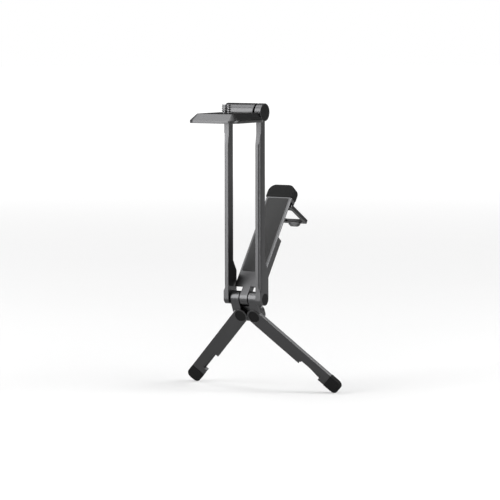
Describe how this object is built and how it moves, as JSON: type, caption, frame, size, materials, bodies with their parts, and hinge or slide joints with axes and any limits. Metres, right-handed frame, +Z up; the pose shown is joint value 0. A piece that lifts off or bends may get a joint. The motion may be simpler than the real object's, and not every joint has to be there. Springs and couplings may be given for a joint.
{
  "type": "folding camera stand",
  "caption": "Pocket folding stand: splayed side legs, padded centre leg, tall U upright and a tilting plate with a camera screw.",
  "frame": {"origin": "centre of the footprint box at the feet's lowest point", "axes": "+Z up, X along the hinge pins, -Y towards the front where the camera plate reaches out"},
  "size_m": [0.1204, 0.1092, 0.193],
  "materials": {
    "graphite_metal": "fine bead-blasted dark anodising",
    "dark_rubber": "matte",
    "silicone_pad": "soft matte",
    "black_cap": "satin",
    "bright_steel": "turned",
    "black_washer": "matte",
    "bronze_bush": "sintered"
  },
  "bodies": {
    "base_hub": {"hub_bracket": "graphite_metal", "hub_back_plate": "graphite_metal", "hub_screws": "bright_steel", "main_hinge_pin": "bright_steel", "hinge_washers": "black_washer", "leg_pivot_left": "bright_steel", "leg_pivot_right": "bright_steel", "leg_washers": "black_washer"},
    "upright": {"arm_left": "graphite_metal", "arm_right": "graphite_metal", "barrel_axle": "bright_steel", "axle_nut": "bright_steel", "tilt_washer": "black_washer", "upper_end_caps": "black_cap", "lower_end_caps": "black_cap"},
    "camera_plate": {"mount_plate": "graphite_metal", "plate_grip_pad": "silicone_pad", "tilt_bushes": "bronze_bush"},
    "screw": {"camera_screw": "bright_steel", "screw_clip": "bright_steel"},
    "centre_leg": {"centre_leg_beam": "graphite_metal", "centre_leg_pad": "silicone_pad", "centre_leg_foot": "dark_rubber", "tongue_bush": "bronze_bush", "prop_pin": "bright_steel"},
    "prop": {"prop_frame": "graphite_metal", "prop_tab": "graphite_metal"},
    "left_leg": {"left_leg_bar": "graphite_metal", "left_leg_foot": "dark_rubber", "left_leg_cap": "black_cap"},
    "right_leg": {"right_leg_bar": "graphite_metal", "right_leg_foot": "dark_rubber", "right_leg_cap": "black_cap"}
  },
  "joints": [
    {"name": "frame_tilt", "type": "hinge", "parent": "base_hub", "child": "upright", "pos_m": [0, -0.01027, 0.06265], "axis": [1, 0, 0], "range_deg": [-35, 130]},
    {"name": "plate_tilt", "type": "hinge", "parent": "upright", "child": "camera_plate", "pos_m": [0, -0.01027, 0.18705], "axis": [1, 0, 0], "range_deg": [-265, 5]},
    {"name": "screw_turn", "type": "hinge", "parent": "camera_plate", "child": "screw", "pos_m": [0, -0.03527, 0.18705], "axis": [0, 0, 1], "continuous": true},
    {"name": "centre_leg_fold", "type": "hinge", "parent": "base_hub", "child": "centre_leg", "pos_m": [0, -0.01027, 0.06265], "axis": [1, 0, 0], "range_deg": [-85, 140]},
    {"name": "prop_swing", "type": "hinge", "parent": "centre_leg", "child": "prop", "pos_m": [0, 0.03249, 0.12194], "axis": [1, 0, 0], "range_deg": [-95, 0]},
    {"name": "left_leg_spread", "type": "hinge", "parent": "base_hub", "child": "left_leg", "pos_m": [-0.0053, -0.00563, 0.05223], "axis": [0, -0.9135, -0.4067], "range_deg": [0, 44.5]},
    {"name": "right_leg_spread", "type": "hinge", "parent": "base_hub", "child": "right_leg", "pos_m": [0.0053, -0.00563, 0.05223], "axis": [0, 0.9135, 0.4067], "range_deg": [0, 44.5]}
  ]
}
